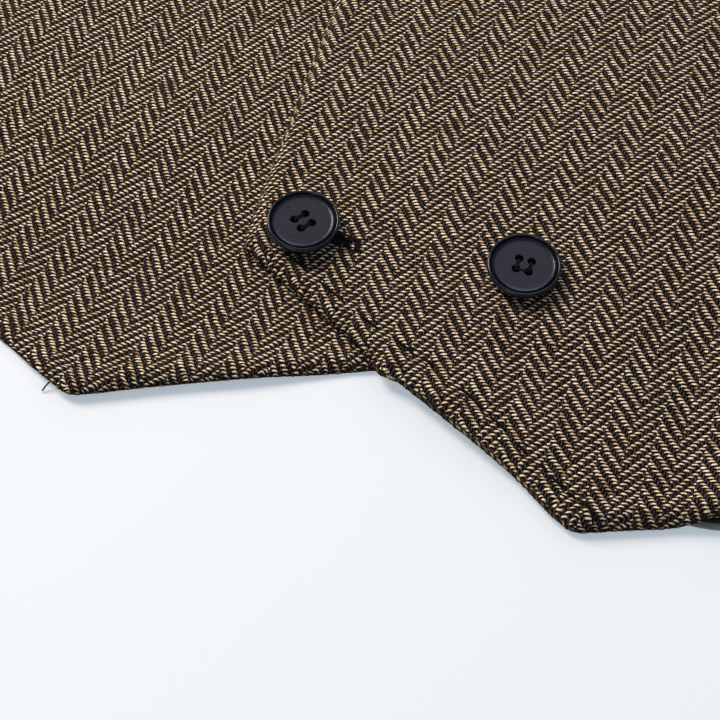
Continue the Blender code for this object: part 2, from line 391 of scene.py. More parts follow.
class Plan:
    """A closed outline that can say how far inside it a place is."""

    def __init__(self, outline, near_step=NEAR_STEP):
        self.points = resampled(outline, near_step)
        self.fine = near_step == NEAR_STEP
        count = len(self.points)
        walls = [(p.x, p.y, z) for z in (-1.0, 1.0) for p in self.points]
        quads = [(k, (k + 1) % count, count + (k + 1) % count, count + k)
                 for k in range(count)]
        self.wall = BVHTree.FromPolygons(walls, quads)
        self.runs = [0.0]
        for a, b in zip(self.points, self.points[1:]):
            self.runs.append(self.runs[-1] + (b - a).length)

    def inside_by(self, x, y):
        """Distance to the outline, and at its nearest place the direction out of it, that place
        and its distance along the outline."""
        spot, outward, index, distance = self.wall.find_nearest(Vector((x, y, 0.0)))
        along = self.runs[index] + (spot.xy - self.points[index]).length
        return distance, outward.xy, spot.xy, along

    def ring_points(self):
        """Places inside, in rings along the edge."""
        found = []
        count = len(self.points)
        for index, here in enumerate(self.points):
            before, after = self.points[index - 1], self.points[(index + 1) % count]
            inward = left_of(after - before)
            near = self.fine and is_near(here)
            for ring in NEAR_RINGS_MM if near else FAR_RINGS_MM:
                every = 1 + (ring > HALF_RINGS_FROM_MM) + 2 * (ring > QUARTER_RINGS_FROM_MM)
                if near and index % every:
                    continue
                place = here + inward * ring * MM
                if self.inside_by(*place)[0] > RING_SHARE * ring * MM:
                    found.append(place)
        return found

    def grid_points(self):
        """Places further in, in a grid of equal triangles."""
        found = []
        xs, ys = zip(*self.points)
        left, right, bottom, top = min(xs), max(xs), min(ys), max(ys)
        for grid, near in ((NEAR_GRID, True), (FAR_GRID, False)):
            margin = NEAR_RINGS_MM[-1] * MM + GRID_MARGIN * grid
            for row in range(ceil((top - bottom) / (grid * ROW_SHARE)) + 1):
                for column in range(ceil((right - left) / grid) + 1):
                    place = Vector((left + (column + 0.5 * (row % 2)) * grid,
                                    bottom + row * grid * ROW_SHARE))
                    if is_near(place) == near and self.inside_by(*place)[0] > margin:
                        found.append(place)
        return found


EDGE_PULL_REACH = 4.0 * MM
EDGE_PULL = 0.9  # how far the yarns are pulled out of line at an edge, in yarns
EDGE_PULL_WAVES = (2.3 * MM, 1.9 * MM)  # of the ends and of the picks, along the edge
EDGE_PULL_DEPTH = 3.0 * MM


def pulled(counts, inside, along):
    """Yarn counts near an edge, where pressing and sewing have pulled the yarns about."""
    pull = EDGE_PULL * (1.0 - ease(inside / EDGE_PULL_REACH))
    return [count + pull * noise.noise(Vector((along / wave, inside / EDGE_PULL_DEPTH, seed)))
            for count, wave, seed in zip(counts, EDGE_PULL_WAVES, (5.1, 8.7))]


EDGE_DROOP_REACH = 3.4 * MM
LEFT_DROOP, RIGHT_DROOP = 1.85 * MM, 0.9 * MM
EDGE_PRESS_REACH = 2.6 * MM
EDGE_PRESS = 0.5  # share of its thickness that a pressed edge has lost


def droop_spare(droop, inside):
    """How much cloth the edge's droop takes up further in, beyond the plan."""
    return 0.6 * droop ** 2 / EDGE_DROOP_REACH * max(0.0, 1.0 - inside / EDGE_DROOP_REACH) ** 3


def cloth_sheet(name, plan, underside, thickness, grain, material, relief, faced=None,
                droop=0.0):
    """A thin closed shell of cloth with round folded edges, and with the yarns themselves
    along the near edges of a fine plan. relief gives what is added to the upper face, and to
    both faces, at a place and a distance inside the edge. faced tells where on the outline a
    facing is sewn on. droop is how far relief lets the edge down."""
    verts, _, faces, *_ = geometry.delaunay_2d_cdt(
        plan.points + plan.ring_points() + plan.grid_points(), [],
        [list(range(len(plan.points)))], 1, MERGED)
    edge_half = 0.5 * thickness * (1.0 - EDGE_PRESS)
    tops, bottoms, threads, edges, rim = [], [], [], [], []
    for place in verts:
        x, y = place
        inside, outward, spot, along = plan.inside_by(x, y)
        rounding = min(inside / edge_half, 1.0)
        profile = sqrt(max(0.0, 1.0 - (1.0 - rounding) ** 2))
        spare = ((0.5 * pi - 1.0) * edge_half * (1.0 - rounding) ** 2
                 + droop_spare(droop, inside))
        press = EDGE_PRESS * max(0.0, 1.0 - inside / EDGE_PRESS_REACH) ** 2
        half = 0.5 * thickness * (1.0 - press)
        counts = pulled(grain(x + outward.x * spare, y + outward.y * spare), inside, along)
        on_top, on_both = relief(x, y, inside, spot)
        middle = underside(x, y) + 0.5 * thickness + on_both
        yarn = 0.0
        if plan.fine and inside < YARN_RELIEF_REACH and is_near(place):
            yarn = yarn_relief(*counts) * (1.0 - ease(inside / YARN_RELIEF_REACH))
        x, y = place + outward * yarn * (1.0 - rounding)
        top = middle + profile * (half + on_top + yarn)
        bottom = max(middle - profile * half, CLEARANCE)
        rim.append(inside < ON_EDGE)
        tops.append(Vector((x, y, top)) + PLAN_SHIFT)
        bottoms.append(Vector((x, y, bottom)) + PLAN_SHIFT)
        threads.append(counts)
        edges.append((min(inside, EDGE_MAP_REACH) / MM,
                      along / MM + (0.0 if faced and faced(spot) else UNFACED)))

    bm = bmesh.new()
    upper = [bm.verts.new(top) for top in tops]
    lower = [up if edge else bm.verts.new(bottom)
             for up, bottom, edge in zip(upper, bottoms, rim)]
    cloth = bm.loops.layers.uv.new("cloth")
    edge_map = bm.loops.layers.uv.new("edge")
    for face in faces:
        for side, corners in ((upper, face), (lower, face[::-1])):
            if side is lower and all(rim[k] for k in face):
                continue
            polygon = bm.faces.new([side[k] for k in corners])
            polygon.smooth = True
            for loop, k in zip(polygon.loops, corners):
                loop[cloth].uv = threads[k]
                loop[edge_map].uv = edges[k]
    bmesh.ops.delete(bm, geom=[v for v in bm.verts if not v.link_faces], context="VERTS")
    return placed(name, mesh_of(bm, name, material))


# ---- Grain ----

GRAIN_REACH_MM = 70.0  # further out than this the grain runs straight on
SATIN_YARNS = 4.0  # to a mm


def levelled(t):
    """t near 0, held at GRAIN_REACH_MM far out."""
    return GRAIN_REACH_MM * tanh(t / GRAIN_REACH_MM)


def grain_of(origin_mm, *rows):
    """The counts of the ends and of the picks as a function of place. Each row gives a count
    at the origin, its rise for each mm of x and of y, and its bends per mm squared."""
    def counts(x, y):
        x, y = x / MM - origin_mm[0], y / MM - origin_mm[1]
        near_x, near_y = levelled(x), levelled(y)
        return [start + per_x * x + per_y * y + fan_x * near_x ** 2
                + twist * near_x * near_y + fan_y * near_y ** 2
                for start, per_x, per_y, fan_x, twist, fan_y in rows]
    return counts


LEFT_GRAIN = grain_of((20.0, 20.0),
                      (14.7, 1.77, -0.162, -0.00156, 0.00020, -0.00130),
                      (3.95, -0.290, 1.450, 0.00025, -0.00081, -0.00112))
RIGHT_GRAIN = grain_of((-50.0, 10.0),
                       (5.23, 1.79, -0.276, 0.00154, 0.00246, 0.00192),
                       (0.95, -0.0743, 1.470, -0.00185, -0.00184, -0.00194))
SATIN_GRAIN = grain_of((0.0, 0.0),
                       (0.0, SATIN_YARNS, 0.0, 0.0, 0.0, 0.0),
                       (0.0, 0.0, SATIN_YARNS, 0.0, 0.0, 0.0))


# ---- Materials ----

def shade(red, green, blue):
    """A colour given as the eye sees it, 0 to 255, in the linear values that Blender wants."""
    linear = [((c / 255 + 0.055) / 1.055) ** 2.4 if c > 10 else c / 255 / 12.92
              for c in (red, green, blue)]
    return (*linear, 1.0)


def plug(tree, slot, value):
    """Link a term or a socket into a node's slot, or set the slot to a plain value."""
    if isinstance(value, Term):
        value = value.socket
    if isinstance(value, bpy.types.NodeSocket):
        tree.links.new(value, slot)
    else:
        slot.default_value = value


class Term:
    """A number in a material's node tree, so that a pattern reads as the formula it is."""

    def __init__(self, tree, socket):
        self.tree, self.socket = tree, socket

    def math(self, operation, *others, clamp=False):
        node = self.tree.nodes.new("ShaderNodeMath")
        node.operation = operation
        node.use_clamp = clamp
        for slot, value in zip(node.inputs, (self, *others)):
            plug(self.tree, slot, value)
        return Term(self.tree, node.outputs[0])

    __add__ = __radd__ = partialmethod(math, "ADD")
    __sub__ = partialmethod(math, "SUBTRACT")
    __mul__ = partialmethod(math, "MULTIPLY")
    __truediv__ = partialmethod(math, "DIVIDE")
    __mod__ = partialmethod(math, "FLOORED_MODULO")
    __gt__ = partialmethod(math, "GREATER_THAN")
    __floor__ = partialmethod(math, "FLOOR")
    cos = partialmethod(math, "COSINE")
    sin = partialmethod(math, "SINE")
    root = partialmethod(math, "SQRT")
    at_least = partialmethod(math, "MAXIMUM")
    clamped = partialmethod(math, "ADD", 0.0, clamp=True)

    def __rsub__(self, other):
        return (self * -1.0) + other

    def blend_to(self, other, share):
        """This number where share is 0, the other where it is 1."""
        return self + (other - self) * share

    def ramp(self, low, high):
        """0 below low, 1 above high and smooth between."""
        node = self.tree.nodes.new("ShaderNodeMapRange")
        node.interpolation_type = "SMOOTHSTEP"
        for name, value in (("Value", self), ("From Min", low), ("From Max", high)):
            plug(self.tree, node.inputs[name], value)
        return Term(self.tree, node.outputs["Result"])


class Paint:
    """A material's node tree with the few building blocks that the finishes share."""

    def __init__(self, name, roughness, specular):
        self.material = bpy.data.materials.new(name)
        self.material.use_nodes = True
        self.tree = self.material.node_tree
        self.surface = self.tree.nodes["Principled BSDF"]
        self.set("Roughness", roughness)
        self.set("Specular IOR Level", specular)

    def set(self, name, value):
        plug(self.tree, self.surface.inputs[name], value)

    def node(self, kind, **inputs):
        made = self.tree.nodes.new(kind)
        for name, value in inputs.items():
            plug(self.tree, made.inputs[name], value)
        return made

    def split(self, socket):
        node = self.node("ShaderNodeSeparateXYZ", Vector=socket)
        return [Term(self.tree, out) for out in node.outputs]

    def chart(self, name):
        """The two numbers of one of the mesh's maps at the place."""
        node = self.tree.nodes.new("ShaderNodeUVMap")
        node.uv_map = name
        return self.split(node.outputs[0])[:2]

    def place(self):
        """The place on the piece, in millimetres."""
        node = self.tree.nodes.new("ShaderNodeTexCoord")
        return [part * 1000.0 for part in self.split(node.outputs["Object"])]

    def pattern(self, kind, x, y, z, **inputs):
        """One of the textures of numbers, at a place of its own."""
        place = self.node("ShaderNodeCombineXYZ", X=x, Y=y, Z=z).outputs[0]
        return Term(self.tree, self.node(kind, Vector=place, **inputs).outputs[0])

    def noise(self, x, y, z=0.0, detail=2.0):
        """Soft noise between 0 and 1, about 0.5."""
        return self.pattern("ShaderNodeTexNoise", x, y, z, Scale=1.0, Detail=detail)

    def stray(self, x, y, z, by=1.0, detail=1.0):
        """Soft noise about 0."""
        return (self.noise(x, y, z, detail) - 0.5) * by

    def chance(self, x, y, z=0.0):
        """An even random number between 0 and 1 for each value of x, y and z."""
        return self.pattern("ShaderNodeTexWhiteNoise", x, y, z)

    def mix(self, share, a, b, how="MIX"):
        """Colour a where share is 0 and b where it is 1."""
        node = self.tree.nodes.new("ShaderNodeMix")
        node.data_type = "RGBA"
        node.blend_type = how
        for slot, value in ((0, share), (6, a), (7, b)):
            plug(self.tree, node.inputs[slot], value)
        return node.outputs[2]

    def shades(self, term, *stops):
        """A colour that goes through stops: a place from 0 to 1, and red, green and blue."""
        node = self.tree.nodes.new("ShaderNodeValToRGB")
        steps = node.color_ramp.elements
        while len(steps) < len(stops):
            steps.new(0.5)
        for step, (place, *colour) in zip(steps, stops):
            step.position = place
            step.color = shade(*colour)
        plug(self.tree, node.inputs[0], term)
        return node.outputs[0]

    def bump(self, height_mm, strength):
        node = self.node("ShaderNodeBump", Height=height_mm, Strength=strength, Distance=MM)
        self.set("Normal", node.outputs["Normal"])


# The weave, in yarn counts and millimetres of height
REPEAT = 4  # a 2/2 twill: over two, under two
BAND_ENDS = 8  # ends from one turn of the herringbone to the next
FLOAT_RISE = 0.16  # height of a float's middle over its ends
YARN_ROUND = 0.20  # height of a yarn's crown over its sides
END_SINK = 0.15  # the thin dark ends lie lower than the picks
PICK_HALF, END_HALF = 0.33, 0.50  # half widths of a pick and an end, in their pitches
FLOAT_TILT = 0.045  # lean of a pick's float, in picks for each end
FLOAT_BOW = 0.17  # how far a float's ends hang below its middle, in picks
QUARTER = 0.5 * pi


def cos_of(value):
    return value.cos() if isinstance(value, Term) else cos(value)


def weave(ends, picks, waver=0.0, wander=0.0):
    """The herringbone at a place counted in yarns, for numbers and for material terms alike:
    the pick's and the end's height in mm, and where the place lies on its float."""
    turned = ends % (2.0 * BAND_ENDS) > BAND_ENDS
    side = 1.0 - turned * 2.0
    pick = floor(picks)
    phase = ends * side + turned * 2.0 + pick + 1.0
    along = phase % REPEAT - 2.0
    bow = (along * along - 0.4) * FLOAT_BOW
    off = (picks - pick - 0.5 + waver + along * side * FLOAT_TILT + bow) / PICK_HALF
    pick_height = cos_of(along * QUARTER) * FLOAT_RISE + (1.0 - off * off) * YARN_ROUND
    end = floor(ends)
    along_end = (end * side + turned + picks - 1.0) % REPEAT - 2.0
    aside = (ends - end - 0.5 + wander) / END_HALF
    end_height = (cos_of(along_end * QUARTER) * FLOAT_RISE
                  + (1.0 - aside * aside) * YARN_ROUND - END_SINK)
    return SimpleNamespace(pick_height=pick_height, along=along, off=off, turned=turned,
                           float_number=floor(phase / REPEAT), end_height=end_height,
                           along_end=along_end, aside=aside)


YARN_RELIEF_REACH = 2.6 * MM  # how far inside an edge the yarns are modelled
YARN_RELIEF = 0.65  # their height there, as a share of the weave's


def yarn_relief(ends, picks):
    """The yarns' height over the cloth's mean face, in metres."""
    woven = weave(ends, picks)
    height = max(woven.pick_height, woven.end_height, -0.05)
    return (height - 0.17) * YARN_RELIEF * MM


EDGE_SHADE_MM = 0.65  # how far in from its edge painted shade darkens the folded cloth
STRAND_MM = 1.7  # length of the turned-out yarns along a faced edge
STRAND_AT_MM, STRAND_HALF_MM = 0.20, 0.20


def edge_strand(paint, inside, along_edge, fibre):
    """The yarns that a faced edge turns out: one row of slim pale dashes along it."""
    sway = paint.stray(along_edge * 0.6, 0.0, 71.0)
    count = along_edge / STRAND_MM + sway * 1.6
    own = paint.chance(floor(count), 73.0)
    along = (count % 1.0 - 0.5) * 2.3
    across = (inside - STRAND_AT_MM + sway * 0.5 + along * 0.15) / STRAND_HALF_MM
    return ((1.0 - across * across) * (1.0 - along * along)
            * (own * 0.85 + 0.08) + fibre * 0.60).clamped()


def tweed():
    """Brown herringbone: pale and tan crosswise yarns over thin dark lengthwise ones."""
    paint = Paint("brown_herringbone_tweed", roughness=0.85, specular=0.06)
    ends, picks = paint.chart("cloth")
    inside, along_edge = paint.chart("edge")

    # the yarns wander together, each by itself, and at the scale of their fibres
    drift = paint.stray(ends * 0.11, picks * 0.11, 1.5, 0.5)
    sway = paint.stray(ends * 0.13, picks * 0.10, 7.5, 0.5)
    ends = ends + drift + paint.stray(ends * 0.8, picks * 0.8, 51.0, 0.60, detail=2.0)
    picks = picks + sway + paint.stray(ends * 0.7, picks * 0.9, 57.0, 0.62, detail=2.0)
    pick, end = floor(picks), floor(ends)
    waver = paint.stray(ends * 0.33, pick * 3.7, 11.0, 0.50)
    wander = paint.stray(end * 3.1, picks * 0.35, 23.0, 0.50)
    woven = weave(ends, picks, waver, wander)

    # fibres twisted round each yarn
    fibre = paint.stray(ends * 1.9 + picks * 1.5, picks * 5.5 - ends * 1.4, 3.0, detail=2.0)
    swell = paint.stray(ends * 0.30, pick * 5.3, 31.0, detail=2.0)
    own = paint.chance(woven.float_number, pick, woven.turned) - 0.5
    shows = (woven.pick_height - woven.end_height + swell * 0.16).ramp(-0.02, 0.05)
    height = woven.pick_height.at_least(woven.end_height)

    # painted highlight and shade: each float is palest above its middle, and painted shade turns
    # it brown below, where the yarn turns under, and near black at its sides
    above = woven.off - 0.22
    painted_crown_light = (1.0 - above * above) * ((woven.along + own * 0.6) * (QUARTER / 1.30)).cos()
    tone = painted_crown_light * (1.18 + own * 0.80 + swell * 1.2) + fibre * 0.74
    # the tan stops run from near-black painted shade through brown to a pale painted highlight
    tan = paint.shades(tone.clamped(), (0.0, 8, 5, 4), (0.20, 93, 67, 45),
                       (0.46, 172, 138, 99), (0.74, 230, 203, 162), (1.0, 255, 242, 216))
    rust = (paint.chance(pick, woven.float_number, 5.0) > 0.996) * 0.35
    tan = paint.mix(rust, tan, shade(224, 150, 90), how="MULTIPLY")

    # painted highlight: a pale streak along the middle of each dark end's float, near black at
    # its sides
    streak = woven.aside * 1.8
    ridge = (1.0 - streak * streak) * (woven.along_end * (QUARTER / 1.3)).cos()
    grey = paint.stray(end * 4.1, picks * 0.4, 41.0, 0.8, detail=2.0)
    end_tone_and_highlight = ridge * (0.62 + grey) + fibre
    dark = paint.shades(end_tone_and_highlight.clamped(), (0.0, 3, 2, 3), (0.40, 53, 44, 47),
                        (1.0, 138, 125, 131))

    # painted shade darkens the fold itself, which turns away from the light, or the fold shows
    # its strand
    faced = 1.0 - (along_edge > 0.5 * UNFACED)
    painted_edge_shade = (inside + fibre * 0.5 + faced * 0.5).ramp(0.0, EDGE_SHADE_MM)
    base = paint.mix(shows, dark, tan)
    strand = edge_strand(paint, inside, along_edge, fibre)
    turned_out = faced * (1.0 - (inside + fibre * 0.5).ramp(0.42, 0.60))
    # painted shade: where the strand fades out its colour goes near black, the groove's shade
    # behind it; each dash is palest along its middle, a painted highlight
    pale = paint.shades(strand, (0.0, 16, 13, 12), (0.4, 110, 94, 74), (1.0, 232, 214, 184))
    base = paint.mix(turned_out, base, pale)
    # painted shade: unfaced folds go three quarters of the way to near black at their edge
    paint.set("Base Color", paint.mix(painted_edge_shade, paint.mix(0.75, base, shade(14, 12, 11)), base))
    relief = height.at_least(-0.12).blend_to(strand * 0.25, turned_out)
    paint.bump(relief + fibre * 0.06, strength=0.9)
    return paint.material


LINING_SHADE_RAMP_MM = (1.0, 1.4)  # where the lining's folded rim ends and the painted shade under the tweed's hem begins


def satin(name, low, high, gloss, inner=None):
    """A plain smooth lining satin: long floats in a fine slanting rib, with a soft shine.
    inner is a painted shade colour within its folded rim, for where the tweed's hem shades it."""
    paint = Paint(name, roughness=gloss, specular=0.5)
    ends, picks = paint.chart("cloth")
    end = floor(ends)
    rib = ends - end - 0.5
    step = ((picks + end * 2.0) % 5.0 - 2.5) * 0.4
    height = (1.0 - rib * rib * 4.0) * 0.04 + (1.0 - step * step) * 0.02
    streak = paint.noise(end * 2.7, picks * 0.03, 3.0)
    cloud = paint.noise(ends * 0.01, picks * 0.01, 9.0, detail=3.0)
    # painted shade: the rib's low places are painted darker and its tops lighter
    tone = (streak * 0.7 + cloud * 0.6 - 0.15 + height * 3.0).clamped()
    base = paint.mix(tone, low, high)
    if inner:
        inside, _ = paint.chart("edge")
        base = paint.mix(inside.ramp(*LINING_SHADE_RAMP_MM), base, inner)
    paint.set("Base Color", base)
    pucker = paint.noise(ends * 0.03, picks * 0.012, 15.0)
    paint.bump(height + pucker * 0.25, strength=0.6)
    paint.set("Roughness", (streak * 0.16 + (gloss - 0.08)).clamped())
    paint.set("Sheen Weight", 0.15)
    paint.set("Sheen Roughness", 0.35)
    paint.set("Sheen Tint", shade(180, 190, 200))
    return paint.material


def button_plastic():
    """Matt near-black plastic with a blue tinge, fine grains and faint turning marks."""
    paint = Paint("matt_black_button_plastic", roughness=0.30, specular=0.44)
    x, y, z = paint.place()
    radius = (x * x + y * y).root()
    grains = paint.noise(x * 5.0, y * 5.0, z * 5.0, detail=4.0)
    spots = paint.noise(x * 2.2, y * 2.2, z * 2.2, detail=4.0)
    rings = (radius * 38.0).sin() * 0.5 + 0.5
    specks = paint.noise(x * 7.0, y * 7.0, z * 7.0 + 40.0, detail=1.0).ramp(0.60, 0.74)
    tone = (grains * 0.75 + spots * 0.95 + rings * 0.08 + specks * 0.6 - 0.4).clamped()
    paint.set("Base Color", paint.mix(tone, shade(7, 7, 11), shade(26, 25, 36)))
    paint.set("Specular Tint", (0.76, 0.80, 1.0, 1.0))
    scratch = paint.noise(x * 0.7 + y * 9.0, y * 0.7 - x * 9.0, 2.0)
    worn = radius.ramp(6.0, 6.3)  # the beads have been rubbed smoother than the face
    rough = (grains * 0.25 + scratch * 0.14 + 0.09) * (1.0 - worn * 0.45)
    paint.set("Roughness", rough.clamped())
    grit = grains * 0.026 + spots * 0.03 + rings * 0.003 + scratch * 0.008
    paint.bump(grit * (1.0 - worn * 0.6), strength=1.0)
    return paint.material


def sewing_thread(name, low, high):
    """Two plies of spun polyester: the thread's own map runs along and round it."""
    paint = Paint(name, roughness=0.7, specular=0.10)
    along, around = paint.chart("thread")
    ply = ((along * 1.4 + around) * (4.0 * pi)).cos() * 0.5 + 0.5
    fibre = paint.noise(along * 6.0 + around * 3.0, around * 12.0, 4.0)
    paint.set("Base Color", paint.mix((ply * 0.6 + fibre * 0.6 - 0.1).clamped(), low, high))
    paint.bump(ply * 0.05 + fibre * 0.02, strength=0.8)
    return paint.material


TABLE_GLOW = (0.305, 0.345, 0.38, 1.0)  # keeps the table nearly white between the lamps


def table_top():
    paint = Paint("pale_table", roughness=0.75, specular=0.15)
    x, y, _ = paint.place()
    cloud = paint.noise(x * 0.004, y * 0.004)
    paint.set("Base Color", paint.mix(cloud, shade(207, 207, 210), shade(211, 211, 214)))
    paint.set("Emission Color", TABLE_GLOW)
    paint.set("Emission Strength", 1.0)
    return paint.material


TWEED = tweed()
BACK_SATIN = satin("dark_back_satin", shade(28, 30, 33), shade(58, 61, 64), 0.38)
# the last colour is painted shade: dark navy where the lining lies under the tweed's hem
LINING_SATIN = satin("lining_satin", shade(92, 98, 90), shade(130, 136, 125), 0.40,
                     shade(14, 20, 30))
PLASTIC = button_plastic()
BLACK_THREAD = sewing_thread("black_thread", shade(2, 2, 3), shade(20, 24, 28))


# ---- The sheets ----

LEFT_OUTLINE = front_outline(LEFT_CORNER, LEFT_POINT, LEFT_STRAYS, LEFT_HEM_STRAYS)
RIGHT_OUTLINE = mirrored(front_outline(RIGHT_CORNER, RIGHT_POINT, RIGHT_STRAYS,
                                       RIGHT_HEM_STRAYS))

# Hand stitches along the left front's cutaway, from and to in millimetres of plan
HAND_STITCHES_MM = (
    (-24.8, 20.2, -18.4, 16.8),
    (-16.0, 15.6, -9.4, 12.1),
    (-5.8, 10.4, -1.0, 7.9),
    (2.3, 7.2, 7.4, 4.4),
    (9.0, 4.4, 11.7, 3.0),
    (17.9, 0.0, 23.4, -3.6),
    (24.6, -4.4, 28.6, -6.6),
    (30.5, -8.3, 33.4, -10.0),
    (36.3, -11.2, 37.8, -12.5),
    (38.4, -13.0, 41.6, -15.1),
    (42.4, -15.5, 44.1, -16.3),
)
STITCH_SINK, STITCH_REACH_MM = 0.38 * MM, 0.7


def sunk_by_stitch(x, y):
    """How deep the stitches pull the cloth in at a place, in metres."""
    away = min(away_squared(x / MM, y / MM, *ends) for ends in HAND_STITCHES_MM)
    return STITCH_SINK * exp(-away / STITCH_REACH_MM ** 2)


EDGE_RIDGE_AT, EDGE_RIDGE_WIDTH, EDGE_RIDGE = 3.0 * MM, 1.9 * MM, 0.22 * MM
SEAM_GROOVE_AT, SEAM_GROOVE_WIDTH, SEAM_GROOVE = 6.4 * MM, 1.3 * MM, 0.20 * MM
HEM_GAP_FROM, HEM_GAP_RUN, HEM_GAP = 62 * MM, 10 * MM, 2.0 * MM
CUTAWAY_FREE_FROM = -0.5 * MM  # left of this the right front lies under the cutaway
FACING_LINE_AT, FACING_LINE_WIDTH, FACING_LINE = 0.60 * MM, 0.20 * MM, 0.22 * MM
BACK_SEAM_WIDTH, BACK_SEAM = 2.5 * MM, 0.15 * MM


def bump_at(inside, place, width):
    return exp(-((inside - place) / width) ** 2)


def folded_edge(inside):
    """The ridge where the cloth is folded in along an edge, and the groove behind it."""
    return (EDGE_RIDGE * bump_at(inside, EDGE_RIDGE_AT, EDGE_RIDGE_WIDTH)
            - SEAM_GROOVE * bump_at(inside, SEAM_GROOVE_AT, SEAM_GROOVE_WIDTH))


def facing_line(inside, spot):
    """The line just inside the cutaway where the facing is sewn on."""
    uneven = 0.75 + 0.5 * noise.noise(Vector((spot.x, spot.y, 0.0)) / (2.2 * MM))
    return -FACING_LINE * uneven * bump_at(inside, FACING_LINE_AT, FACING_LINE_WIDTH)


def edge_droop(inside):
    """How far the edge's roll bends down, as a share."""
    return max(0.0, 1.0 - inside / EDGE_DROOP_REACH) ** 2


def is_faced(spot):
    """Whether a place on the left front's outline is where its cutaway hangs free."""
    return CUTAWAY_FREE_FROM < spot.x < LEFT_POINT[0] and spot.y < LEFT_CORNER[1]


def left_front_relief(x, y, inside, spot):
    above_lining = ease((x - HEM_GAP_FROM) / HEM_GAP_RUN) * HEM_GAP
    seam = facing_line(inside, spot) if is_faced(spot) else 0.0
    return (folded_edge(inside) + seam - sunk_by_stitch(x, y),
            crease_height(x, y) + above_lining - LEFT_DROOP * edge_droop(inside))


def right_front_relief(x, y, inside, spot):
    return folded_edge(inside), crease_height(x, y) - RIGHT_DROOP * edge_droop(inside)


def lining_relief(x, y, inside, spot):
    return 0.0, crease_height(x, y)


def back_relief(x, y, inside, spot):
    return BACK_SEAM * bump_at(x, 0.0, BACK_SEAM_WIDTH), 0.0


def lay(node, piece):
    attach(piece, "root")
    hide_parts(node)
    return piece


LINING_NEAR_STEP = 1.0 * MM

back = lay("back", cloth_sheet(
    "satin_back", Plan(back_outline(), FAR_STEP), back_underside, BACK_THICKNESS,
    SATIN_GRAIN, BACK_SATIN, back_relief))
right_front = lay("right_front", cloth_sheet(
    "tweed_right_front", Plan(RIGHT_OUTLINE), right_front_underside, FRONT_THICKNESS,
    RIGHT_GRAIN, TWEED, right_front_relief, droop=RIGHT_DROOP))
lining = lay("left_front_lining", cloth_sheet(
    "satin_front_lining", Plan(lining_outline(LEFT_OUTLINE), LINING_NEAR_STEP),
    lining_underside, LINING_THICKNESS, SATIN_GRAIN, LINING_SATIN, lining_relief))
left_front = lay("left_front", cloth_sheet(
    "tweed_left_front", Plan(LEFT_OUTLINE), left_front_underside, FRONT_THICKNESS,
    LEFT_GRAIN, TWEED, left_front_relief, is_faced, LEFT_DROOP))


LEFT_FACE = BVHTree.FromPolygons([v.co for v in left_front.data.vertices],
                                 [face.vertices for face in left_front.data.polygons])


ABOVE_ALL = 0.1  # a height over the whole garment, to look down from


def on_left_front(x_mm, y_mm, above_mm=0.0):
    """The place so far above the left front's upper face at a place in the plan."""
    start = Vector((x_mm, y_mm, 0.0)) * MM + PLAN_SHIFT
    start.z = ABOVE_ALL
    return LEFT_FACE.ray_cast(start, -UP)[0] + UP * (above_mm * MM)


# ---- Buttons ----

BUTTON_STEPS, HOLE_STEPS = 96, 32
# The turned profile from the middle of the face over the rim to the flat back, in mm
BUTTON_PROFILE_MM = (
    (0.00, 2.12), (2.50, 2.10), (4.60, 2.09), (5.60, 2.09), (6.06, 2.11), (6.18, 2.20),
    (6.28, 2.32), (6.37, 2.38), (6.46, 2.31), (6.54, 2.04), (6.64, 1.86), (6.74, 1.92),
    (6.80, 2.20), (6.88, 2.40), (6.98, 2.50), (7.12, 2.54), (7.27, 2.49), (7.40, 2.35),
    (7.48, 2.14), (7.50, 1.84), (7.42, 1.30), (7.05, 0.85), (6.50, 0.40), (5.90, 0.08),
    (5.70, 0.00), (0.00, 0.00),
)
HOLE_FLARE = 0.20 * MM


def turned(profile, steps):
    """A mesh turned round Z from (radius, height) pairs that start and end on the axis."""
    bm = bmesh.new()
    rings = [[bm.verts.new((radius * c, radius * s, height))
              for c, s in (circle(steps) if radius else [(0.0, 0.0)])]
             for radius, height in profile]
    for upper, lower in zip(rings, rings[1:]):
        for k in range(steps):
            corners = (upper[k % len(upper)], lower[k % len(lower)],
                       lower[(k + 1) % len(lower)], upper[(k + 1) % len(upper)])
            bm.faces.new(list(dict.fromkeys(corners)))
    return mesh_of(bm, "turned")


def hole_cutter(x, y):
    top = BUTTON_PROFILE_MM[0][1] * MM
    mouth = HOLE_RADIUS + HOLE_FLARE
    profile = ((0.0, top + MM), (mouth, top + MM), (mouth, top - 0.03 * MM),
               (HOLE_RADIUS + 0.3 * HOLE_FLARE, top - 0.12 * MM),
               (HOLE_RADIUS, top - 0.3 * MM), (HOLE_RADIUS, -MM), (0.0, -MM))
    return placed("hole_cutter", turned(profile, HOLE_STEPS), (x, y, 0.0))


def hole_places(turn):
    """The four holes' middles, the pattern turned by so many degrees."""
    half = 0.5 * HOLE_SPACING
    turn = radians(turn)
    return [(half * (a * cos(turn) - b * sin(turn)),
             half * (a * sin(turn) + b * cos(turn))) for a, b in CORNERS]


def button_mesh():
    blank = placed("button_blank", turned([(r * MM, z * MM) for r, z in BUTTON_PROFILE_MM],
                                          BUTTON_STEPS))
    cutters = [hole_cutter(x, y) for x, y in hole_places(0.0)]
    for cutter in cutters:
        cut = blank.modifiers.new("hole", "BOOLEAN")
        cut.operation = "DIFFERENCE"
        cut.object = cutter
    bpy.context.view_layer.update()
    evaluated = blank.evaluated_get(bpy.context.evaluated_depsgraph_get())
    mesh = bpy.data.meshes.new_from_object(evaluated)
    for piece in (blank, *cutters):
        bpy.data.objects.remove(piece)
    mesh.shade_smooth()
    mesh.set_sharp_from_angle(angle=radians(50.0))
    mesh.materials.append(PLASTIC)
    return mesh


BUTTON_MESH = button_mesh()


# ---- Thread ----

